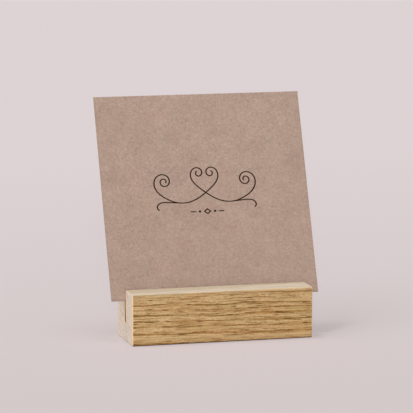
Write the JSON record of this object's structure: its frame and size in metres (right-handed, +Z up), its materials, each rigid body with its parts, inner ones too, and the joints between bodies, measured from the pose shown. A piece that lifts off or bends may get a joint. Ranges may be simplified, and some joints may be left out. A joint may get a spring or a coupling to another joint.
{
  "type": "place card",
  "caption": "A nearly square kraft card leans back in a saw kerf cut from end to end along the top of a small oak block that stands on a table.",
  "frame": {"origin": "middle of the block's underside, on the table top", "axes": "+X runs along the block and the card, +Y goes to the back, the way the card leans, and +Z is up"},
  "size_m": [0.085, 0.0417, 0.0936],
  "materials": {
    "oak": "bare planed oak, edges eased with sandpaper",
    "kraft_card": "matte recycled kraft board with fine fibre fleck",
    "ink": "dark brown offset ink, matte"
  },
  "bodies": {
    "root": {"oak_block": "oak", "name_card": "kraft_card"}
  },
  "joints": []
}
